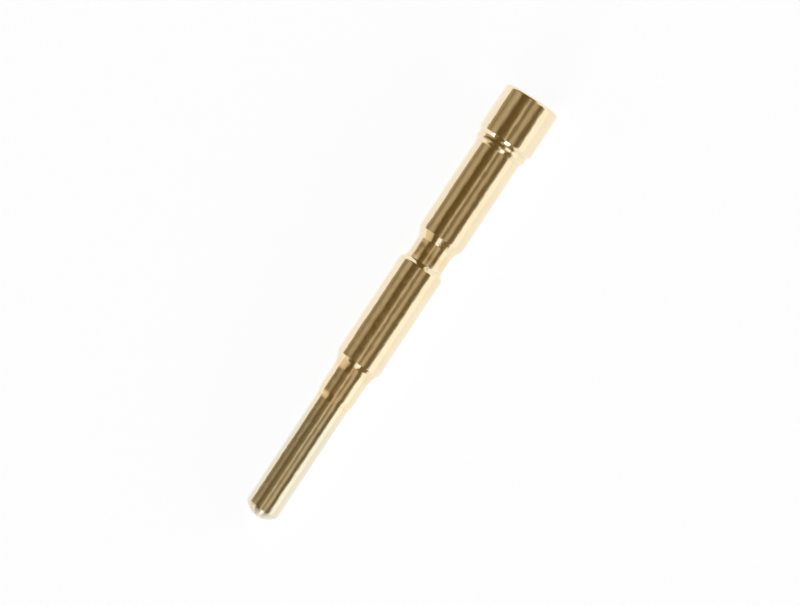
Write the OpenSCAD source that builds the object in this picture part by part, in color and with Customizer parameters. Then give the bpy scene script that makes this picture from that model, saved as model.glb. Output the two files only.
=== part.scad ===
// Crimp pin contact: one turned and plated piece, with a mating pin at one end and a wire barrel at the other.
// Lengths run along the axis, from the tip of the pin to the mouth of the barrel.

/* [Mating pin] */
// Diameter of the mating pin
pin_d = 1.6; // [1.4:0.05:1.7]
// Length of the mating pin, with its rounded nose
pin_length = 6.1; // [4:0.05:8]
// Diameter of the ball that the blunt nose is part of
nose_ball_d = 1.9; // [1.75:0.05:2.4]
// Diameter of the small flat on the end of the nose
nose_flat_d = 0.5; // [0.2:0.05:0.8]
// Diameter of the thicker root behind the mating pin, where it starts
root_d = 1.74; // [1.72:0.01:1.9]
// How much wider the slightly tapered root is at the shoulder
root_taper = 0.02; // [0.01:0.01:0.1]
// Length of the root, with the cone that leads up to it
root_length = 1.6; // [0.6:0.05:3]

/* [Body] */
// Diameter of the front body, which the insulator guides
front_d = 2.2; // [2.1:0.01:2.24]
// Length of the front body, with its chamfers
front_length = 5.55; // [3:0.05:8]
// Diameter at the floor of the retention groove
groove_d = 1.85; // [1.6:0.05:2]
// Width of the retention groove at its floor
groove_width = 1; // [0.5:0.05:2]
// Diameter of the wire barrel, which the crimp tool presses
barrel_d = 2.25; // [2.2:0.01:2.3]
// Length of the wire barrel, with the cone that leads up to it
barrel_length = 4.9; // [4.6:0.05:7]

/* [Head] */
// Diameter of the head round the mouth
head_d = 2.7; // [2.65:0.01:3]
// Length of the head, with its front chamfer
head_length = 2.4; // [2.2:0.05:4]
// Diameter at the crest of the ring in front of the head
ring_d = 2.53; // [2.5:0.01:2.64]
// Diameter at the floor of the notch between the ring and the head
notch_d = 2.41; // [2.35:0.01:2.48]
// Chamfer on the rim of the mouth
rim_chamfer = 0.1; // [0.05:0.01:0.15]

/* [Wire well] */
// Diameter of the well that takes the bare wire
well_d = 1.45; // [1.1:0.05:1.5]
// Depth of the well, from the mouth to the end of its straight wall
well_depth = 7; // [5:0.1:7.2]
// Diameter of the cup that takes the end of the wire's insulation
cup_d = 2.1; // [1.8:0.05:2.2]
// Depth of the straight wall of the cup
cup_depth = 1.6; // [0.8:0.05:1.7]
// Diameter of the sight hole that shows the end of the wire
sight_d = 0.7; // [0.4:0.05:0.8]
// Distance from the end of the well's straight wall to the middle of the sight hole
sight_inset = 0.75; // [0.6:0.05:1.2]
// Direction of the sight hole round the axis, from straight up
sight_turn = 120; // [90:1:270]

/* [Slopes] */
// Slope of the cones that lead up to the root and to the front body
lead_slope = 30; // [20:1:45]
// Slope of the cone that leads up to the wire barrel
barrel_slope = 27; // [20:1:45]
// Slope of the back of the front body, down to the retention groove
back_slope = 45; // [30:1:60]
// Slope of the cone that leads up to the ring
ring_slope = 35; // [25:1:45]
// Slope of the back of the ring, down to the notch
notch_slope = 16; // [12:1:30]
// Slope of the front chamfer of the head
head_slope = 40; // [30:1:60]
// Slope of the funnel between the cup and the well
funnel_slope = 45; // [35:1:60]
// Point angle of the drill that makes the well
drill_point = 118; // [90:1:140]

/* [Hidden] */
$fn = 96;

// How far a cutting shape reaches past the face that it opens
overcut = 0.5;

// Axial run of a cone between two diameters
function cone_run(from_d, to_d, slope) = abs(to_d - from_d) / 2 / tan(slope);

// Distances from the tip
ball_middle = sqrt(pow(nose_ball_d / 2, 2) - pow(nose_flat_d / 2, 2));
nose_length = ball_middle - sqrt(pow(nose_ball_d / 2, 2) - pow(pin_d / 2, 2));
root_start = pin_length + cone_run(pin_d, root_d, lead_slope);
shoulder_start = pin_length + root_length;
root_end_d = root_d + root_taper;
front_start = shoulder_start + cone_run(root_end_d, front_d, lead_slope);
groove_start = shoulder_start + front_length;
front_end = groove_start - cone_run(front_d, groove_d, back_slope);
groove_end = groove_start + groove_width;
barrel_start = groove_end + cone_run(groove_d, barrel_d, barrel_slope);
barrel_end = groove_end + barrel_length;
ring_crest = barrel_end + cone_run(barrel_d, ring_d, ring_slope);
head_start = ring_crest + cone_run(ring_d, notch_d, notch_slope);
head_corner = head_start + cone_run(notch_d, head_d, head_slope);
mouth = head_start + head_length;
cup_floor = mouth - cup_depth;
well_start = cup_floor - cone_run(cup_d, well_d, funnel_slope);
well_floor = mouth - well_depth;
well_point = well_floor - cone_run(0, well_d, drill_point / 2);
sight_middle = well_floor + sight_inset;

// At rest the contact lies on the corners of its front body and its head, so its axis rises to the head.
rest_slope = atan((head_d - front_d) / 2 / (head_corner - front_start));
tip_height = front_d / 2 * cos(rest_slope) - front_start * sin(rest_slope);
tip_reach = mouth * cos(rest_slope) / 2;

// Half outline behind the nose, as radius and distance from the tip
turned_outline = [
    [0, nose_length],
    [pin_d / 2, nose_length],
    [pin_d / 2, pin_length],
    [root_d / 2, root_start],
    [root_end_d / 2, shoulder_start],
    [front_d / 2, front_start],
    [front_d / 2, front_end],
    [groove_d / 2, groove_start],
    [groove_d / 2, groove_end],
    [barrel_d / 2, barrel_start],
    [barrel_d / 2, barrel_end],
    [ring_d / 2, ring_crest],
    [notch_d / 2, head_start],
    [head_d / 2, head_corner],
    [head_d / 2, mouth - rim_chamfer],
    [head_d / 2 - rim_chamfer, mouth],
    [0, mouth],
];

// Half outline of the drilled well, from its point to beyond the mouth
well_outline = [
    [0, well_point],
    [well_d / 2, well_floor],
    [well_d / 2, well_start],
    [cup_d / 2, cup_floor],
    [cup_d / 2, mouth + overcut],
    [0, mouth + overcut],
];

// Blunt nose of the pin: the cap of a ball, cut off by its small flat
module nose() {
    intersection() {
        translate([0, 0, ball_middle])
            sphere(d = nose_ball_d);
        cylinder(d = nose_ball_d, h = nose_length);
    }
}

module turned_blank() {
    nose();
    rotate_extrude()
        polygon(turned_outline);
}

module wire_well() {
    rotate_extrude()
        polygon(well_outline);
}

module sight_hole() {
    translate([0, 0, sight_middle])
        rotate([0, 90, sight_turn])
            cylinder(d = sight_d, h = barrel_d / 2 + overcut);
}

// Lays the upright contact along X on the plane z = 0, with its tip towards +X
module at_rest() {
    translate([tip_reach, 0, tip_height])
        rotate([0, rest_slope - 90, 0])
            children();
}

module pin_contact() {
    color("goldenrod")
        at_rest()
            difference() {
                turned_blank();
                wire_well();
                sight_hole();
            }
}

pin_contact();
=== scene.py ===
import math
from collections import namedtuple

import bmesh
import bpy
from bpy.props import FloatProperty, FloatVectorProperty, IntProperty, PointerProperty
from mathutils import Matrix, Vector


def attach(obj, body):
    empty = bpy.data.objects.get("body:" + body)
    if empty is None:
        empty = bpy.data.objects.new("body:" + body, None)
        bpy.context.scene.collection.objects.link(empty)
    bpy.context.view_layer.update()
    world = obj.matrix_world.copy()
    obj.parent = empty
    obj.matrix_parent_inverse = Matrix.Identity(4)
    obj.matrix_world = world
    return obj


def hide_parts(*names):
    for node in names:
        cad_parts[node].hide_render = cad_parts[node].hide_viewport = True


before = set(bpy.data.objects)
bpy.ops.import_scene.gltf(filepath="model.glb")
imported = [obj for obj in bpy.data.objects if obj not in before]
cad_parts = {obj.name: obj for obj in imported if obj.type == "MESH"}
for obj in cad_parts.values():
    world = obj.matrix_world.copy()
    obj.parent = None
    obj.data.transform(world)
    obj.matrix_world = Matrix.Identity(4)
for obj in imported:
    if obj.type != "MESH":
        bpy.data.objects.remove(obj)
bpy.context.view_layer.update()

bl_info = {
    "name": "Crimp Pin Contact",
    "version": (1, 0, 0),
    "blender": (4, 5, 0),
    "location": "3D View > Sidebar > Contact",
    "description": "A turned, gold-plated crimp pin contact that lies on a white studio floor",
    "category": "Add Mesh",
}

MM = 0.001


def length(name, millimetres, text):
    """A size of the contact or the studio, kept in metres"""
    return FloatProperty(
        name=name, description=text, default=millimetres * MM, min=0.0, precision=5, unit="LENGTH", subtype="DISTANCE"
    )


def angle(name, degrees, text):
    """A slope or a direction, kept in radians"""
    return FloatProperty(name=name, description=text, default=math.radians(degrees), unit="ROTATION", subtype="ANGLE")


def factor(name, share, text):
    """A share from none to all"""
    return FloatProperty(name=name, description=text, default=share, min=0.0, max=1.0, subtype="FACTOR")


def colour(name, red_green_blue, text):
    """A linear colour"""
    return FloatVectorProperty(
        name=name, description=text, default=red_green_blue, size=3, min=0.0, max=4.0, subtype="COLOR"
    )


class ContactSizes(bpy.types.PropertyGroup):
    """Sizes of the turned contact as in its source, then the small radii that only its reflections show"""

    pin_d: length("Pin diameter", 1.6, "Diameter of the mating pin")
    pin_length: length("Pin length", 6.1, "Length of the mating pin, with its rounded nose")
    nose_ball_d: length("Nose ball", 1.9, "Diameter of the ball that the blunt nose is part of")
    nose_flat_d: length("Nose flat", 0.5, "Diameter of the small flat on the end of the nose")
    root_d: length("Root diameter", 1.74, "Diameter of the thicker root behind the pin")
    root_taper: length("Root taper", 0.02, "How much wider the root is at the shoulder")
    root_length: length("Root length", 1.6, "Length of the root, with its lead-up cone")
    front_d: length("Front body diameter", 2.2, "Diameter of the front body")
    front_length: length("Front body length", 5.55, "Length of the front body, with its chamfers")
    groove_d: length("Groove diameter", 1.85, "Diameter at the floor of the retention groove")
    groove_width: length("Groove width", 1.0, "Width of the retention groove at its floor")
    barrel_d: length("Barrel diameter", 2.25, "Diameter of the wire barrel")
    barrel_length: length("Barrel length", 4.9, "Length of the wire barrel, with its lead-up cone")
    head_d: length("Head diameter", 2.7, "Diameter of the head round the mouth")
    head_length: length("Head length", 2.4, "Length of the head, with its front chamfer")
    ring_d: length("Ring diameter", 2.53, "Diameter at the crest of the ring in front of the head")
    notch_d: length("Notch diameter", 2.41, "Diameter at the floor of the notch behind the ring")
    rim_chamfer: length("Rim chamfer", 0.1, "Chamfer on the rim of the mouth")
    well_d: length("Well diameter", 1.45, "Diameter of the well that takes the bare wire")
    well_depth: length("Well depth", 7.0, "Depth of the well, from the mouth to the end of its wall")
    cup_d: length("Cup diameter", 2.1, "Diameter of the cup that takes the wire's insulation")
    cup_depth: length("Cup depth", 1.6, "Depth of the straight wall of the cup")
    sight_d: length("Sight hole diameter", 0.7, "Diameter of the hole that shows the end of the wire")
    sight_inset: length("Sight hole inset", 0.75, "From the end of the well's wall to the middle of the hole")
    sight_turn: angle("Sight hole turn", 120, "Direction of the sight hole round the axis, from straight up")
    back_slope: angle("Back slope", 45, "Slope of the back of the front body, down to the groove")
    lead_slope: angle("Lead-up slope", 30, "Slope of the cones up to the root and the front body")
    barrel_slope: angle("Barrel slope", 27, "Slope of the cone that leads up to the barrel")
    ring_slope: angle("Ring slope", 35, "Slope of the cone that leads up to the ring")
    notch_slope: angle("Notch slope", 16, "Slope of the back of the ring")
    head_slope: angle("Head slope", 40, "Slope of the front chamfer of the head")
    funnel_slope: angle("Funnel slope", 45, "Slope of the funnel between the cup and the well")
    drill_point: angle("Drill point", 118, "Point angle of the drill that makes the well")
    edge_round: length("Edge round", 0.1, "Radius that tumbling leaves on the outer edges")
    tool_round: length("Tool round", 0.12, "Radius that the turning tool leaves in the inner corners")
    back_round: length("Back round", 0.12, "Radius on the edges of the back of the front body")
    root_draw: length("Root draw", 0.08, "How far the cone up to the root is drawn out at each end")
    nose_round: length("Nose round", 0.2, "Radius that blends the nose into the wall of the pin")
    blend_round: length("Blend round", 0.8, "Radius that blends the pin into the root")
    shoulder_round: length("Shoulder round", 1.2, "Radius that blends the root into the shoulder")
    groove_dish: length("Groove dish", 0.07, "How far the two halves of the groove's hollow floor slope down")
    dish_round: length("Dish round", 4.0, "Radius of the groove's hollow floor")
    hole_round: length("Hole round", 0.03, "Radius on the edges of the sight hole")
    facets: IntProperty(name="Facets", description="Faces round the axis", default=256, min=128, max=512)


class PlateFinish(bpy.types.PropertyGroup):
    """Colours and wear of the gold plate, and the painted shade in its inner corners"""

    gold: colour("Gold", (0.94, 0.8, 0.55), "Colour of the polished gold plate")
    # Deep gold colours the warm patches and is also the painted shade that darkens the inner corners.
    deep_gold_and_corner_shade: colour("Deep gold", (0.88, 0.71, 0.43), "Warmer gold in patches and in the corners")
    bore_gold: colour("Bore gold", (0.7, 0.52, 0.26), "Thin, dull plate down in the wire well")
    pin_gold: colour("Pin gold", (0.81, 0.755, 0.58), "Paler, worn plate on the mating pin")
    polish: factor("Polish", 0.1, "Roughness of the polished plate")
    dulling: factor("Dulling", 0.2, "Roughness of the dullest patches and scratches")
    nose_dulling: factor("Nose dulling", 0.36, "Roughness across the rings that turning leaves on the nose")
    line_pitch: length("Turning pitch", 0.03, "Distance between the fine lines that turning leaves")
    line_depth: factor("Turning depth", 0.06, "How strongly the turning lines show")
    wave_depth: length("Wave depth", 0.013, "Height of the slight waves that polishing leaves")


class StudioSettings(bpy.types.PropertyGroup):
    """Floor, lamps and camera round the contact"""

    floor: colour("Floor", (0.36, 0.365, 0.375), "Colour of the pale floor under the lamps")
    floor_white: colour("Floor white", (0.842, 0.86, 0.893), "White of the floor that doesn't depend on the lamps")
    lamp_white: colour("Lamp white", (1.08, 1.08, 1.06), "Light of the lamps")
    card_grey: colour("Card grey", (0.46, 0.38, 0.262), "Light of the warm grey cards")
    room_brown: colour("Room brown", (0.125, 0.083, 0.027), "Light of the dim room behind the cards")
    lamp_side_brown: colour("Lamp side brown", (0.185, 0.13, 0.05), "Light of the dim room on the side of the lamps")
    room_radius: length("Room radius", 3000, "Distance from the contact to the walls of the room")
    card_radius: length("Card distance", 500, "Distance from the contact to the cards")
    lamp_radius: length("Lamp distance", 2500, "Distance from the contact to the upright lamps")
    lens: length("Lens", 135, "Focal length of the camera")
    camera_distance: length("Camera distance", 131.9, "From the middle of the contact up to the camera")
    camera_turn: angle("Camera turn", 123.67, "Turn of the picture about the line of sight")
    camera_lean: angle("Camera lean", 6, "Lean of the line of sight from straight up towards the lamp side")


Stations = namedtuple(
    "Stations",
    "ball_middle nose_end pin_end root_start shoulder front_start front_end groove_start groove_end barrel_start "
    "barrel_end ring_crest head_start head_corner mouth cup_floor well_start well_floor well_point sight",
)


def cone_run(from_d, to_d, slope):
    """Length along the axis of a cone between two diameters"""
    return abs(to_d - from_d) / 2 / math.tan(slope)


def find_stations(z):
    """Distances from the tip at which the outline changes, by the formulas of the part's source"""
    ball = z.nose_ball_d / 2
    ball_middle = math.sqrt(ball ** 2 - (z.nose_flat_d / 2) ** 2)
    shoulder = z.pin_length + z.root_length
    groove_start = shoulder + z.front_length
    groove_end = groove_start + z.groove_width
    barrel_end = groove_end + z.barrel_length
    ring_crest = barrel_end + cone_run(z.barrel_d, z.ring_d, z.ring_slope)
    head_start = ring_crest + cone_run(z.ring_d, z.notch_d, z.notch_slope)
    mouth = head_start + z.head_length
    cup_floor = mouth - z.cup_depth
    well_floor = mouth - z.well_depth
    return Stations(
        ball_middle=ball_middle,
        nose_end=ball_middle - math.sqrt((ball - z.nose_round) ** 2 - (z.pin_d / 2 - z.nose_round) ** 2),
        pin_end=z.pin_length,
        root_start=z.pin_length + cone_run(z.pin_d, z.root_d, z.lead_slope),
        shoulder=shoulder,
        front_start=shoulder + cone_run(z.root_d + z.root_taper, z.front_d, z.lead_slope),
        front_end=groove_start - cone_run(z.front_d, z.groove_d, z.back_slope),
        groove_start=groove_start,
        groove_end=groove_end,
        barrel_start=groove_end + cone_run(z.groove_d, z.barrel_d, z.barrel_slope),
        barrel_end=barrel_end,
        ring_crest=ring_crest,
        head_start=head_start,
        head_corner=head_start + cone_run(z.notch_d, z.head_d, z.head_slope),
        mouth=mouth,
        cup_floor=cup_floor,
        well_start=cup_floor - cone_run(z.cup_d, z.well_d, z.funnel_slope),
        well_floor=well_floor,
        well_point=well_floor - cone_run(0, z.well_d, z.drill_point / 2),
        sight=well_floor + z.sight_inset,
    )


def rest_slope(z, at):
    """How far the axis rises to the head, because the contact lies on its front body and its head"""
    return math.atan((z.head_d - z.front_d) / 2 / (at.head_corner - at.front_start))


def rest_matrix(z, at):
    """Lays the upright contact along X on the floor, with its tip towards +X"""
    slope = rest_slope(z, at)
    tip_height = z.front_d / 2 * math.cos(slope) - at.front_start * math.sin(slope)
    tip_reach = at.mouth * math.cos(slope) / 2
    return Matrix.Translation((tip_reach, 0, tip_height)) @ Matrix.Rotation(slope - math.pi / 2, 4, "Y")


# A spot of the half outline: radius, distance from the tip, its normal, how much of an edge (above 0) or a corner
# (below 0) it is, and whether it lies in the bore.
Spot = namedtuple("Spot", "r s normal edge bore")
# A corner of the half outline, with the radius of its rounding.
Corner = namedtuple("Corner", "r s rounding")

OUTSIDE, BETWEEN, IN_BORE = 0.0, 0.5, 1.0
# Steps over each part of the nose and round each corner, and the most of a stretch that a rounding may take up.
NOSE_STEPS = 16
ROUND_STEPS = 6
ROUND_SHARE = 0.75
# Distance between the rings of a straight stretch, and from its ends to the rings that guard them.
RING_PITCH = 0.45 * MM
GUARD = 0.05 * MM
# How much of an edge or a corner the ends of a rounding are.
EDGE_FADE = 0.55
# A length that counts as none.
TINY = 1e-6 * MM


def facing(direction):
    """Normal of a stretch of the outline, on the side away from the metal"""
    return Vector((direction.y, -direction.x))


def rounded(corners, bore):
    """Spots along straight stretches and round the corners between them"""
    places = [Vector((c.r, c.s)) for c in corners]
    runs = [b - a for a, b in zip(places, places[1:])]
    ways = [run.normalized() for run in runs]
    spots = []
    start = places[0]
    for i, way in enumerate(ways):
        normal = facing(way)
        last = i == len(ways) - 1
        if last:
            end, trim = places[-1], 0
        else:
            turn = way.angle(ways[i + 1])
            trim = min(
                corners[i + 1].rounding * math.tan(turn / 2), ROUND_SHARE * min(runs[i].length, runs[i + 1].length)
            )
            end = places[i + 1] - way * trim
        spots += straight(start, end, normal, bore)
        if last:
            break
        spots += bend(end, normal, facing(ways[i + 1]), trim / math.tan(turn / 2), bore)
        start = places[i + 1] + ways[i + 1] * trim
    return spots


def straight(start, end, normal, bore):
    """Spots along a straight stretch, close together only beside its ends"""
    run = (end - start).length
    guard = GUARD if run > 4 * GUARD else run / 4
    count = max(1, math.ceil((run - 2 * guard) / RING_PITCH))
    marks = [0, guard] + [guard + (run - 2 * guard) * k / count for k in range(1, count)] + [run - guard, run]
    way = (end - start) / run
    return [Spot(*(start + way * mark), normal, 0.0, bore) for mark in marks]


def bend(start, first, last, radius, bore):
    """Spots round a corner, between the stretches on its two sides"""
    side = 1 if first.x * last.y - first.y * last.x > 0 else -1
    centre = start - first * radius * side
    turn = first.angle(last) * side
    spots = []
    for k in range(1, ROUND_STEPS):
        share = k / ROUND_STEPS
        normal = Matrix.Rotation(turn * share, 2) @ first
        edge = side * (EDGE_FADE + (1 - EDGE_FADE) * math.sin(math.pi * share))
        spots.append(Spot(*(centre + normal * radius * side), normal, edge, bore))
    return spots


def flat_turn(z):
    """Turn round the nose's ball from the axis to the edge of the small flat"""
    return math.asin(z.nose_flat_d / z.nose_ball_d)


def tip_spots(z):
    """Spots over the small flat on the end of the nose, and round its edge"""
    flat = z.nose_flat_d / 2
    on_ball = Vector((math.cos(flat_turn(z)), math.sin(flat_turn(z)))) * flat
    corners = [Corner(0, 0, 0), Corner(flat, 0, z.edge_round), Corner(flat + on_ball.x, on_ball.y, 0)]
    return [spot for spot in rounded(corners, OUTSIDE) if spot.edge or spot.s == 0]


def nose_spots(z, at):
    """Spots over the blunt nose, from its small flat and round its corner to the straight wall of the pin"""
    ball, soft = z.nose_ball_d / 2, z.nose_round
    corner_turn = math.asin((z.pin_d / 2 - soft) / (ball - soft))
    spots = []
    for middle_r, middle_s, radius, start, end in (
        (0, at.ball_middle, ball, flat_turn(z), corner_turn),
        (z.pin_d / 2 - soft, at.nose_end, soft, corner_turn, math.pi / 2),
    ):
        for k in range(1, NOSE_STEPS + 1):
            turn = start + (end - start) * k / NOSE_STEPS
            normal = Vector((math.sin(turn), -math.cos(turn)))
            spots.append(Spot(middle_r + radius * normal.x, middle_s + radius * normal.y, normal, 0.0, OUTSIDE))
    return spots


def outline_spots(z, at):
    """The half outline of the metal, from the tip over the outside to the mouth, and down the bore to its point"""
    edge, tool = z.edge_round, z.tool_round
    outside = rounded(
        [
            Corner(z.pin_d / 2, at.nose_end, 0),
            Corner(z.pin_d / 2, at.pin_end - z.root_draw, z.blend_round),
            Corner(z.root_d / 2, at.root_start + z.root_draw, z.blend_round),
            Corner((z.root_d + z.root_taper) / 2, at.shoulder, z.shoulder_round),
            Corner(z.front_d / 2, at.front_start, edge),
            Corner(z.front_d / 2, at.front_end, z.back_round),
            Corner(z.groove_d / 2, at.groove_start, z.back_round),
            Corner(z.groove_d / 2 - z.groove_dish, (at.groove_start + at.groove_end) / 2, z.dish_round),
            Corner(z.groove_d / 2, at.groove_end, tool),
            Corner(z.barrel_d / 2, at.barrel_start, edge),
            Corner(z.barrel_d / 2, at.barrel_end, tool),
            Corner(z.ring_d / 2, at.ring_crest, edge),
            Corner(z.notch_d / 2, at.head_start, tool),
            Corner(z.head_d / 2, at.head_corner, edge),
            Corner(z.head_d / 2, at.mouth - z.rim_chamfer, edge),
            Corner(z.head_d / 2 - z.rim_chamfer, at.mouth, edge),
            Corner(z.cup_d / 2, at.mouth, 0),
        ],
        OUTSIDE,
    )
    inside = rounded(
        [
            Corner(z.head_d / 2 - z.rim_chamfer, at.mouth, 0),
            Corner(z.cup_d / 2, at.mouth, edge),
            Corner(z.cup_d / 2, at.cup_floor, tool),
            Corner(z.well_d / 2, at.well_start, edge),
            Corner(z.well_d / 2, at.well_floor, tool),
            Corner(0, at.well_point, 0),
        ],
        IN_BORE,
    )
    rim_middle = (z.head_d / 2 - z.rim_chamfer + z.cup_d / 2) / 2
    outside = [spot for spot in outside if spot.s < at.mouth or spot.r > rim_middle]
    inside = [spot for spot in inside if spot.s < at.mouth or spot.r < rim_middle]
    return tip_spots(z) + nose_spots(z, at) + outside[1:] + inside


# The opening that a wall keeps for the sight hole: its faces along and round the contact, and half its length.
SIGHT_ROWS = 18
SIGHT_COLUMNS = 54
SIGHT_PATCH = 0.56 * MM
# Rings from the border of the opening to the hole, steps round the hole's soft edge and steps down the hole.
PATCH_RINGS = 5
HOLE_STEPS = 5
WALL_STEPS = 4


def patch_rows(spots, at, radius, bore):
    """Puts even rows of spots where the sight hole goes through a wall, and says where they start"""
    low, high = at.sight - SIGHT_PATCH, at.sight + SIGHT_PATCH

    def beside_hole(spot):
        return spot.bore == bore and abs(spot.r - radius) < TINY and low - GUARD < spot.s < high + GUARD

    near = [i for i, spot in enumerate(spots) if beside_hole(spot)]
    sample = spots[near[0]]
    rows = [sample._replace(s=low + (high - low) * k / SIGHT_ROWS) for k in range(SIGHT_ROWS + 1)]
    if bore:
        rows.reverse()
    changed = spots[: near[0]] + rows + spots[near[-1] + 1 :]
    return changed, near[0]


class Lathe:
    """Collects the vertices and faces of the turned contact, upright, with its tip at the origin"""

    def __init__(self, facets, turn):
        self.facets, self.turn = facets, turn
        self.places, self.normals, self.edges, self.bores, self.faces = [], [], [], [], []

    def point(self, place, normal, edge, bore):
        """Adds one point and gives its number"""
        self.places.append(place)
        self.normals.append(normal.normalized())
        self.edges.append(edge)
        self.bores.append(bore)
        return len(self.places) - 1

    def ring(self, spot):
        """A ring of points at one spot, or one point on the axis"""
        if spot.r < TINY:
            return [self.point(Vector((0, 0, spot.s)), Vector((0, 0, spot.normal.y)), spot.edge, spot.bore)]
        made = []
        for k in range(self.facets):
            a = self.turn + 2 * math.pi * k / self.facets
            out = Vector((math.cos(a), math.sin(a), 0))
            normal = out * spot.normal.x + Vector((0, 0, spot.normal.y))
            made.append(self.point(out * spot.r + Vector((0, 0, spot.s)), normal, spot.edge, spot.bore))
        return made

    def band(self, one, two, skip=frozenset()):
        """Faces between two rings, or between a ring and a point"""
        count = max(len(one), len(two))
        for k in range(count):
            if k in skip:
                continue
            n = (k + 1) % count
            if len(one) == 1:
                self.faces.append((one[0], two[n], two[k]))
            elif len(two) == 1:
                self.faces.append((one[k], one[n], two[0]))
            else:
                self.faces.append((one[k], one[n], two[n], two[k]))


def patch_border(rings, columns):
    """Points round the opening left in a wall, in order"""
    first, last = rings[0], rings[-1]
    half = columns // 2
    return (
        [first[k] for k in range(-half, half)]
        + [ring[half] for ring in rings[:-1]]
        + [last[k] for k in range(half, -half, -1)]
        + [ring[-half] for ring in reversed(rings[1:])]
    )


def sight_hole(lathe, outer_rings, inner_rings, z, at):
    """Joins the openings in the two walls by a round hole with soft edges"""
    out = Vector((math.cos(lathe.turn), math.sin(lathe.turn), 0))
    side = Vector((-out.y, out.x, 0))
    along = Vector((0, 0, 1))
    hole, soft = z.sight_d / 2, z.hole_round
    outer, inner = z.barrel_d / 2, z.well_d / 2

    def spread(border):
        """Direction of each border point from the middle of the hole"""
        return [math.atan2(lathe.places[i].dot(side), lathe.places[i].z - at.sight) for i in border]

    def wall_ring(border, turns, radius, share, bore):
        """A ring on the wall between its border and the edge of the hole"""
        made = []
        for i, turn in zip(border, turns):
            across = lathe.places[i].dot(side) * (1 - share) + (hole + soft) * math.sin(turn) * share
            up = (lathe.places[i].z - at.sight) * (1 - share) + (hole + soft) * math.cos(turn) * share
            rise = math.sqrt(radius * radius - across * across)
            radial = (out * rise + side * across) / radius
            made.append(lathe.point(radial * radius + along * (at.sight + up), radial * (1 - 2 * bore), 0.0, bore))
        return made

    def hole_ring(turns, radius, slant, bore):
        """A ring round the soft edge of the hole, slant 0 on the wall and a right angle down the hole"""
        made = []
        way = 1 - 2 * bore
        for turn in turns:
            reach = hole + soft * (1 - math.sin(slant))
            across = reach * math.sin(turn)
            rise = math.sqrt(radius * radius - across * across)
            radial = (out * rise + side * across) / radius
            inward = -(side * math.sin(turn) + along * math.cos(turn))
            place = out * (rise - way * soft * (1 - math.cos(slant))) + side * across
            place += along * (at.sight + reach * math.cos(turn))
            normal = radial * way * math.cos(slant) + inward * math.sin(slant)
            made.append(lathe.point(place, normal, math.sin(2 * slant), bore))
        return made

    def wall_rings(rings, radius, bore):
        """All rings of one wall, from the border of its opening into the hole"""
        border = patch_border(rings, SIGHT_COLUMNS)
        turns = spread(border)
        made = [border]
        made += [wall_ring(border, turns, radius, k / PATCH_RINGS, bore) for k in range(1, PATCH_RINGS)]
        made += [hole_ring(turns, radius, math.pi / 2 * k / HOLE_STEPS, bore) for k in range(HOLE_STEPS + 1)]
        return made

    outer_made = wall_rings(outer_rings, outer, OUTSIDE)
    inner_made = wall_rings(list(reversed(inner_rings)), inner, IN_BORE)
    between = []
    for k in range(1, WALL_STEPS):
        share = k / WALL_STEPS
        ring = []
        for a, b in zip(outer_made[-1], inner_made[-1]):
            place = lathe.places[a].lerp(lathe.places[b], share)
            ring.append(lathe.point(place, lathe.normals[a].lerp(lathe.normals[b], share), 0.0, BETWEEN))
        between.append(ring)
    chain = outer_made + between + list(reversed(inner_made))
    for one, two in zip(chain, chain[1:]):
        lathe.band(one, two)


def turn_contact(z):
    """The whole contact as one closed mesh, laid on the floor"""
    at = find_stations(z)
    spots = outline_spots(z, at)
    spots, outer_first = patch_rows(spots, at, z.barrel_d / 2, OUTSIDE)
    spots, inner_first = patch_rows(spots, at, z.well_d / 2, IN_BORE)
    lathe = Lathe(z.facets, z.sight_turn)
    rings = [lathe.ring(spot) for spot in spots]
    half = SIGHT_COLUMNS // 2
    opening = frozenset(k % z.facets for k in range(-half, half))
    cut = set(range(outer_first, outer_first + SIGHT_ROWS)) | set(range(inner_first, inner_first + SIGHT_ROWS))
    for i, (one, two) in enumerate(zip(rings, rings[1:])):
        lathe.band(one, two, opening if i in cut else frozenset())
    sight_hole(
        lathe,
        rings[outer_first : outer_first + SIGHT_ROWS + 1],
        rings[inner_first : inner_first + SIGHT_ROWS + 1],
        z,
        at,
    )
    laid = rest_matrix(z, at)
    turned = laid.to_3x3()
    mesh = bpy.data.meshes.new("pin_contact_plated")
    mesh.from_pydata([laid @ place for place in lathe.places], [], lathe.faces)
    tidy_faces(mesh)
    mesh.shade_smooth()
    mesh.normals_split_custom_set_from_vertices([turned @ normal for normal in lathe.normals])
    for name, values in (("edge", lathe.edges), ("bore", lathe.bores)):
        mesh.attributes.new(name, "FLOAT", "POINT").data.foreach_set("value", values)
    return mesh


def tidy_faces(mesh):
    """Turns all faces outwards, and stops if the mesh isn't closed"""
    bm = bmesh.new()
    bm.from_mesh(mesh)
    bmesh.ops.recalc_face_normals(bm, faces=bm.faces)
    if bm.calc_volume(signed=True) < 0:
        bmesh.ops.reverse_faces(bm, faces=bm.faces)
    closed = all(e.is_manifold for e in bm.edges)
    bm.to_mesh(mesh)
    bm.free()
    if not closed:
        raise RuntimeError("the turned contact isn't a closed mesh")


# Sockets of the mixing node that take and give colours.
MIX_SHARE, MIX_ONE, MIX_TWO, MIX_RESULT = 0, 6, 7, 2


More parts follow.
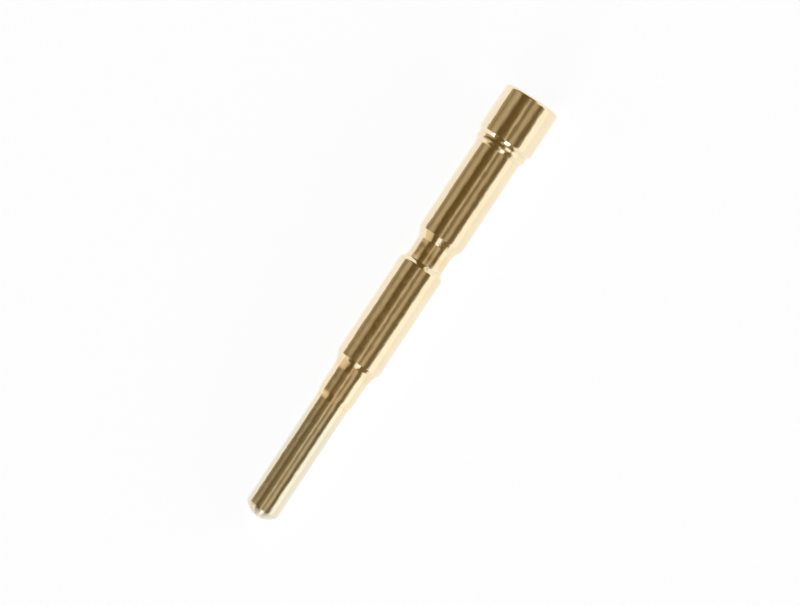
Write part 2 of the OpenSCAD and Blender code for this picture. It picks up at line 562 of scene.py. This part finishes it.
class Graph:
    """A material's nodes, made and linked in a few words"""

    def __init__(self, tree):
        self.tree = tree
        tree.nodes.clear()

    def add(self, kind, inputs=None, **settings):
        """A node with its settings, and with each input linked or set to a constant"""
        made = self.tree.nodes.new(kind)
        for key, value in settings.items():
            setattr(made, key, value)
        for key, value in (inputs or {}).items():
            socket = made.inputs[key]
            if isinstance(value, bpy.types.NodeSocket):
                self.tree.links.new(value, socket)
            else:
                socket.default_value = value
        return made

    def maths(self, operation, one, two=0.0):
        return self.add("ShaderNodeMath", {0: one, 1: two}, operation=operation).outputs[0]

    def plus(self, one, two):
        return self.maths("ADD", one, two)

    def times(self, one, two):
        return self.maths("MULTIPLY", one, two)

    def larger(self, one, two=0.0):
        """The larger of two values, or what a value has above nothing"""
        return self.maths("MAXIMUM", one, two)

    def spread(self, value, low, high, to_low=0.0, to_high=1.0):
        """Maps a range of values to another, smoothly"""
        inputs = {"Value": value, "From Min": low, "From Max": high, "To Min": to_low, "To Max": to_high}
        return self.add("ShaderNodeMapRange", inputs, interpolation_type="SMOOTHSTEP").outputs[0]

    def mix(self, share, one, two):
        """A colour between two others"""
        inputs = {MIX_SHARE: share, MIX_ONE: one, MIX_TWO: two}
        return self.add("ShaderNodeMix", inputs, data_type="RGBA", clamp_factor=False).outputs[MIX_RESULT]

    def stretched(self, vector, scales):
        """Places drawn out along the axes, for marks that aren't as long as they are wide"""
        return self.add("ShaderNodeMapping", {"Vector": vector, "Scale": scales}).outputs[0]

    def noise(self, vector, scale=1.0, detail=2.0):
        return self.add("ShaderNodeTexNoise", {"Vector": vector, "Scale": scale, "Detail": detail}).outputs[0]

    def attribute(self, name):
        """A value that the mesh carries at its points"""
        return self.add("ShaderNodeAttribute", attribute_name=name).outputs["Fac"]

    def seen(self):
        """1 where a place is seen, also in the polished gold, and 0 where it only lights others"""
        path = self.add("ShaderNodeLightPath").outputs
        return self.larger(self.larger(path["Is Camera Ray"], path["Is Glossy Ray"]), path["Is Transmission Ray"])

    def finish(self, shader):
        self.add("ShaderNodeOutputMaterial", {"Surface": shader})


def new_material(name):
    """An empty node material"""
    material = bpy.data.materials.new(name)
    material.use_nodes = True
    material.cycles.emission_sampling = "NONE"
    return material, Graph(material.node_tree)


def full(rgb):
    """A colour with its alpha"""
    return (*rgb, 1.0)


# How often the plate's marks repeat in a millimetre, in all directions or twice across the contact and once along it.
PATCH_SCALE = 0.9
GRAIN_SCALE = 45.0
WAVE_SCALE = 1.5
LINE_SCALE = 0.25
MOTTLE_SCALES = (8.0, 8.0, 3.0)
SCRATCH_SCALES = (26.0, 26.0, 0.35)
# Between which values of their noise the patches and the scratches set in.
PATCH_ONSET = (0.35, 0.7)
SCRATCH_ONSET = (0.6, 0.72)
# How much the patches warm the colour and the painted shade darkens the inner corners, how much the marks dull or
# polish the plate, and how much they raise it beside the turning lines.
PATCH_WARMTH = 0.35
CORNER_PAINTED_SHADE = 0.6
SCRATCH_DULLING = 0.5
PATCH_DULLING = 0.3
GRAIN_DULLING = 0.25
EDGE_POLISH = 0.3
GRAIN_RISE = 0.35
MOTTLE_RISE = 3.0
LINE_RISE = 0.02 * MM
# Millimetres from the tip at which a mark starts to fade and is gone, and how strong it is before that: the worn plate
# of the pin, and the rings on the nose, which fade in two ways.
PIN_WEAR = (4.5, 6.2, 0.8)
NOSE_RINGS = (0.38, 0.5, 1.0)
NOSE_TRAIL = (0.4, 1.6, 0.55)
# How far the rings on the nose draw out its highlights, and the quarter turn that lays these across the rings.
RING_DRAW = 0.9
QUARTER_TURN = 0.25

# What the parts of the plate's material share: places on the upright contact in millimetres, the distance from the tip,
# and where the edges, the bore, the patches, the grain and the rings on the nose are.
Marks = namedtuple("Marks", "upright from_tip edge bore patches grain nose")


def plate_marks(graph, laid):
    """Finds the marks on the plate by their places on the upright contact"""
    own = graph.add("ShaderNodeTexCoord").outputs["Object"]
    upright = graph.add(
        "ShaderNodeMapping",
        {"Vector": own, "Location": laid.to_translation(), "Rotation": laid.to_euler(), "Scale": (MM, MM, MM)},
        vector_type="TEXTURE",
    ).outputs[0]
    from_tip = graph.add("ShaderNodeSeparateXYZ", {"Vector": upright}).outputs["Z"]
    return Marks(
        upright=upright,
        from_tip=from_tip,
        edge=graph.attribute("edge"),
        bore=graph.attribute("bore"),
        patches=graph.spread(graph.noise(upright, PATCH_SCALE, detail=3.0), *PATCH_ONSET),
        grain=graph.noise(upright, GRAIN_SCALE),
        nose=graph.larger(graph.spread(from_tip, *NOSE_RINGS, 0.0), graph.spread(from_tip, *NOSE_TRAIL, 0.0)),
    )


def plate_colour(graph, marks, finish):
    """Gold that is warmer in patches, with painted shade darkening the inner corners, paler on the pin and dull in the
    bore
    """
    # Painted shade: the inner corners, where the edge attribute is below 0, are darkened towards the deep gold.
    corner = graph.larger(graph.times(marks.edge, -1.0))
    warm = graph.plus(graph.times(marks.patches, PATCH_WARMTH), graph.times(corner, CORNER_PAINTED_SHADE))
    outside = graph.mix(warm, full(finish.gold), full(finish.deep_gold_and_corner_shade))
    outside = graph.mix(graph.spread(marks.from_tip, *PIN_WEAR, 0.0), outside, full(finish.pin_gold))
    return graph.mix(marks.bore, outside, full(finish.bore_gold))


def plate_roughness(graph, marks, finish):
    """Polish that is dulled by scratches, patches, grain, the bore and the rings on the nose"""
    along = graph.stretched(marks.upright, SCRATCH_SCALES)
    scratches = graph.spread(graph.noise(along, detail=1.0), *SCRATCH_ONSET)
    dull = graph.plus(graph.times(scratches, SCRATCH_DULLING), graph.times(marks.patches, PATCH_DULLING))
    dull = graph.plus(dull, graph.times(marks.grain, GRAIN_DULLING))
    worn = graph.larger(marks.edge)
    dull = graph.maths("SUBTRACT", graph.plus(dull, marks.bore), graph.times(worn, EDGE_POLISH))
    body = graph.spread(dull, 0.0, 1.0, finish.polish, finish.dulling)
    return graph.larger(body, graph.times(marks.nose, finish.nose_dulling))


def plate_relief(graph, marks, finish):
    """Slight waves under fine turning lines, grain and mottles"""
    across = graph.stretched(marks.upright, (LINE_SCALE, LINE_SCALE, MM / finish.line_pitch))
    mottles = graph.noise(graph.stretched(marks.upright, MOTTLE_SCALES))
    height = graph.plus(graph.noise(across), graph.times(marks.grain, GRAIN_RISE))
    height = graph.plus(height, graph.times(mottles, MOTTLE_RISE))
    swell = graph.noise(marks.upright, WAVE_SCALE, detail=1.0)
    waves = graph.add("ShaderNodeBump", {"Distance": finish.wave_depth, "Height": swell}).outputs[0]
    return graph.add(
        "ShaderNodeBump",
        {"Strength": finish.line_depth, "Distance": LINE_RISE, "Height": height, "Normal": waves},
    ).outputs[0]


def gold_plate(z, at, finish):
    """Polished gold plate with fine turning lines, warm patches, light scratches and worn edges"""
    material, graph = new_material("gold_plate")
    laid = rest_matrix(z, at)
    marks = plate_marks(graph, laid)
    axis = laid.to_3x3() @ Vector((0, 0, 1))
    normal = graph.add("ShaderNodeNewGeometry").outputs["Normal"]
    ring_way = graph.add("ShaderNodeVectorMath", {0: axis, 1: normal}, operation="CROSS_PRODUCT").outputs[0]
    bump = plate_relief(graph, marks, finish)
    shader = graph.add(
        "ShaderNodeBsdfPrincipled",
        {
            "Base Color": plate_colour(graph, marks, finish),
            "Metallic": 1.0,
            "Roughness": plate_roughness(graph, marks, finish),
            "Anisotropic": graph.times(marks.nose, RING_DRAW),
            "Anisotropic Rotation": QUARTER_TURN,
            "Tangent": ring_way,
            "Normal": bump,
            "Coat Weight": 1.0,
            "Coat Roughness": 0.08,
            "Coat IOR": 1.5,
            "Coat Normal": bump,
        },
    )
    graph.finish(shader.outputs[0])
    return material


def white_floor(studio):
    """Pale floor that stays white behind the contact and in its reflections, and keeps the shadow"""
    material, graph = new_material("white_floor")
    glow = graph.add("ShaderNodeEmission", {"Color": full(studio.floor_white), "Strength": graph.seen()})
    paper = graph.add("ShaderNodeBsdfDiffuse", {"Color": full(studio.floor)})
    both = graph.add("ShaderNodeAddShader", {0: glow.outputs[0], 1: paper.outputs[0]})
    graph.finish(both.outputs[0])
    return material


def card_glow(name, dark, light):
    """Light of a card or a lamp, from the dark of the room to its own light by the level of each place on it"""
    material, graph = new_material(name)
    shown = graph.mix(graph.attribute("level"), full(dark), full(light))
    graph.finish(graph.add("ShaderNodeEmission", {"Color": shown, "Strength": 1.0}).outputs[0])
    return material


def white_world(level):
    """White behind the floor wherever it is seen, and a lower level of light from it elsewhere"""
    world = bpy.data.worlds.new("studio_white")
    world.use_nodes = True
    graph = Graph(world.node_tree)
    glow = graph.add("ShaderNodeBackground", {"Color": (1, 1, 1, 1), "Strength": graph.larger(graph.seen(), level)})
    graph.add("ShaderNodeOutputWorld", {"Surface": glow.outputs[0]})
    bpy.context.scene.world = world


# A card bent round the length of the contact, with its ends as pitches towards the mouth and the tip. Each stop is a
# lean from straight up towards the lamp side, with the levels of light that the body, the pin and the feet of the steps
# show there: 0 is the dark of the room, 1 the card's own light. With tip_feet, the feet that face the tip show the
# feet's levels too, and otherwise the body's.
Card = namedtuple("Card", "name light mouth_end tip_end tip_feet stops")

CARDS = (
    Card(
        name="side_softbox",
        light="lamp_white",
        mouth_end=78,
        tip_end=45,
        tip_feet=False,
        stops=(
            (48, 0, 0, 0.1),
            (52, 0.03, 0.12, 0.3),
            (56, 0.09, 0.2, 0.6),
            (60, 0.2, 0.6, 1),
            (65, 1, 1.1, 1),
            (90, 1, 1.1, 1),
        ),
    ),
    Card(
        name="overhead_card",
        light="card_grey",
        mouth_end=25,
        tip_end=48,
        tip_feet=True,
        stops=(
            (-36, 0, 0.08, 0),
            (-30, 0, 0.18, 0),
            (-15, 0.05, 0.36, 0.05),
            (-8, 0.3, 0.7, 0.3),
            (-5, 0.7, 1.15, 0.8),
            (-2, 1.25, 1.6, 1.4),
            (0.5, 1.3, 1.6, 1.4),
            (4, 0.7, 0.98, 1.0),
            (7, 0.3, 0.55, 0.9),
            (14, 0.25, 0.48, 0.9),
            (18, 0.55, 0.75, 1.1),
            (22, 0.95, 1.2, 1.3),
            (27, 1, 1.28, 1.3),
            (33, 0.8, 1.02, 1.0),
            (36, 0.55, 0.67, 0.6),
            (39, 0.2, 0.27, 0.2),
            (43, 0.05, 0.08, 0.05),
        ),
    ),
    Card(
        name="far_card",
        light="card_grey",
        mouth_end=25,
        tip_end=53,
        tip_feet=True,
        stops=(
            (-90, 0.7, 0.7, 2),
            (-82, 0.7, 0.55, 2),
            (-74, 0.35, 0.18, 2),
            (-66, 0.75, 0.22, 1.9),
            (-54, 1.1, 0.54, 1.8),
            (-48, 1, 0.52, 1.5),
            (-42, 0.6, 0.4, 0.8),
            (-36, 0, 0.12, 0),
        ),
    ),
)
# Pitches at which the level of a card changes between what the feet, the body, the pin and the feet again show.
LEVEL_PITCHES = (-18, -6, 3.5, 4.5, 6.5, 20)
# An upright lamp. Each of its rows is an angle above the floor, the level of light there, and the directions of its
# two ends round the upright, from the tip towards the lamp side.
Strip = namedtuple("Strip", "name light rows")

STRIPS = (
    Strip(
        name="tip_lamp",
        light="lamp_white",
        rows=(
            (0, 4, -1, 14),
            (15, 3, 3, 15),
            (20, 1.2, 8, 16),
            (24, 1, -6.6, 18.6),
            (30, 1, -6.6, 18.6),
            (33, 1, -6, 13),
            (40, 1, -6, 13),
        ),
    ),
    Strip(name="corner_lamp", light="lamp_white", rows=((0, 9, -34, -28), (4, 9, -34, -28))),
    Strip(name="mouth_lamp", light="lamp_white", rows=((0, 1, 110, 160), (50, 1, 110, 160))),
)
STRIP_STEPS = 12
# Facets round the dim room, and the level of its walls behind the two ends of the contact.
ROOM_FACETS = 48
ROOM_MIDDLE = 0.5


def stage_mesh(name, places, faces, material, levels=None):
    """A floor, card, lamp or wall of the studio; the camera doesn't see those with levels of light"""
    mesh = bpy.data.meshes.new(name)
    mesh.from_pydata(places, [], faces)
    mesh.materials.append(material)
    made = bpy.data.objects.new(name, mesh)
    bpy.context.scene.collection.objects.link(made)
    if levels:
        mesh.attributes.new("level", "FLOAT", "POINT").data.foreach_set("value", levels)
        made.visible_camera = False


def sheet_faces(rows, columns):
    """Faces of a grid of points, row by row"""
    faces = []
    for i in range(rows - 1):
        for k in range(columns - 1):
            a = i * columns + k
            faces.append((a, a + 1, a + columns + 1, a + columns))
    return faces


def bent_card(card, radius, material):
    """A card bent round the length of the contact"""
    places, levels = [], []
    columns = [radius * math.tan(math.radians(p)) for p in (-card.mouth_end, *LEVEL_PITCHES, card.tip_end)]
    for lean, body, pin, foot in card.stops:
        turn = math.radians(lean)
        places += [(x, radius * math.sin(turn), radius * math.cos(turn)) for x in columns]
        towards_tip = foot if card.tip_feet else body
        levels += [foot, foot, body, body, pin, pin, towards_tip, towards_tip]
    stage_mesh(card.name, places, sheet_faces(len(card.stops), len(columns)), material, levels)


def strip_lamp(strip, radius, material):
    """An upright lamp, bent round the contact"""
    places, levels = [], []
    for rise, level, start, end in strip.rows:
        up = math.radians(rise)
        flat = radius * math.cos(up)
        for k in range(STRIP_STEPS + 1):
            way = math.radians(start + (end - start) * k / STRIP_STEPS)
            places.append((flat * math.cos(way), flat * math.sin(way), radius * math.sin(up)))
            levels.append(level)
    stage_mesh(strip.name, places, sheet_faces(len(strip.rows), STRIP_STEPS + 1), material, levels)


def dim_room(radius, material):
    """A dome of dim walls behind the cards, a little lighter on the side of the lamps"""
    rows = ROOM_FACETS // 4 + 1
    places, levels = [], []
    for i in range(rows):
        rise = math.pi / 2 * i / (rows - 1)
        for k in range(ROOM_FACETS + 1):
            way = 2 * math.pi * k / ROOM_FACETS
            flat = math.cos(rise)
            places.append((radius * flat * math.cos(way), radius * flat * math.sin(way), radius * math.sin(rise)))
            levels.append(min(1.0, max(0.0, ROOM_MIDDLE + flat * math.sin(way))))
    stage_mesh("dim_room", places, sheet_faces(rows, ROOM_FACETS + 1), material, levels)


class CONTACT_OT_turn_contact(bpy.types.Operator):
    """Turns the contact as one closed, plated piece, in the place of its solid"""

    bl_idname = "contact.turn_contact"
    bl_label = "Turn the pin contact"

    def execute(self, context):
        sizes = context.scene.contact_sizes
        mesh = turn_contact(sizes)
        mesh.materials.append(gold_plate(sizes, find_stations(sizes), context.scene.contact_finish))
        piece = bpy.data.objects.new("pin_contact_plated", mesh)
        context.scene.collection.objects.link(piece)
        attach(piece, "root")
        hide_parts("pin_contact")
        return {"FINISHED"}


# How far the floor lies below the contact, and the place that the camera looks at.
FLOOR_DROP = 0.002 * MM
VIEW_MIDDLE = Vector((-0.296, 0.063, 1.2)) * MM
CLIP_NEAR = 10 * MM
CLIP_FAR = 20.0
# Light that the white behind the floor adds where it isn't seen itself.
WORLD_LEVEL = 0.4


class CONTACT_OT_set_studio(bpy.types.Operator):
    """Lays the white floor, hangs the cards and lamps, and sets the camera above the contact"""

    bl_idname = "contact.set_studio"
    bl_label = "Set the studio"

    def execute(self, context):
        scene = context.scene
        studio = scene.contact_studio
        scene.view_settings.view_transform = "Standard"
        wide = studio.room_radius
        corners = [(x, y, -FLOOR_DROP) for y in (-wide, wide) for x in (-wide, wide)]
        stage_mesh("white_floor", corners, sheet_faces(2, 2), white_floor(studio))
        dark = studio.room_brown
        dim_room(wide, card_glow("room_brown", dark, studio.lamp_side_brown))
        lights = {name: card_glow(name, dark, getattr(studio, name)) for name in ("lamp_white", "card_grey")}
        for card in CARDS:
            bent_card(card, studio.card_radius, lights[card.light])
        for strip in STRIPS:
            strip_lamp(strip, studio.lamp_radius, lights[strip.light])
        white_world(WORLD_LEVEL)
        self.set_camera(scene, studio)
        return {"FINISHED"}

    def set_camera(self, scene, studio):
        """Looks down at the contact, with a slight lean and its length turned across the picture"""
        lens = bpy.data.cameras.new("camera")
        lens.sensor_fit = "HORIZONTAL"
        lens.lens = studio.lens / MM
        lens.clip_start, lens.clip_end = CLIP_NEAR, CLIP_FAR
        camera = bpy.data.objects.new("camera", lens)
        lean = Matrix.Rotation(-studio.camera_lean, 4, "X")
        away = lean @ Vector((0, 0, studio.camera_distance))
        turn = Matrix.Rotation(studio.camera_turn, 4, "Z")
        camera.matrix_world = Matrix.Translation(VIEW_MIDDLE + away) @ lean @ turn
        scene.collection.objects.link(camera)
        scene.camera = camera


class CONTACT_PT_panel(bpy.types.Panel):
    """Lists what makes the contact and its studio"""

    bl_idname = "CONTACT_PT_panel"
    bl_label = "Pin Contact"
    bl_space_type = "VIEW_3D"
    bl_region_type = "UI"
    bl_category = "Contact"

    def draw(self, context):
        scene = context.scene
        for operator, group in (
            ("contact.turn_contact", scene.contact_sizes),
            ("contact.turn_contact", scene.contact_finish),
            ("contact.set_studio", scene.contact_studio),
        ):
            box = self.layout.box()
            box.operator(operator)
            for name in group.bl_rna.properties.keys():
                if name not in ("rna_type", "name"):
                    box.prop(group, name)


CLASSES = (
    ContactSizes,
    PlateFinish,
    StudioSettings,
    CONTACT_OT_turn_contact,
    CONTACT_OT_set_studio,
    CONTACT_PT_panel,
)


def register():
    for cls in CLASSES:
        bpy.utils.register_class(cls)
    bpy.types.Scene.contact_sizes = PointerProperty(type=ContactSizes)
    bpy.types.Scene.contact_finish = PointerProperty(type=PlateFinish)
    bpy.types.Scene.contact_studio = PointerProperty(type=StudioSettings)


def unregister():
    del bpy.types.Scene.contact_studio
    del bpy.types.Scene.contact_finish
    del bpy.types.Scene.contact_sizes
    for cls in reversed(CLASSES):
        bpy.utils.unregister_class(cls)


def main():
    register()
    bpy.ops.contact.turn_contact()
    bpy.ops.contact.set_studio()


if __name__ == "__main__":
    main()
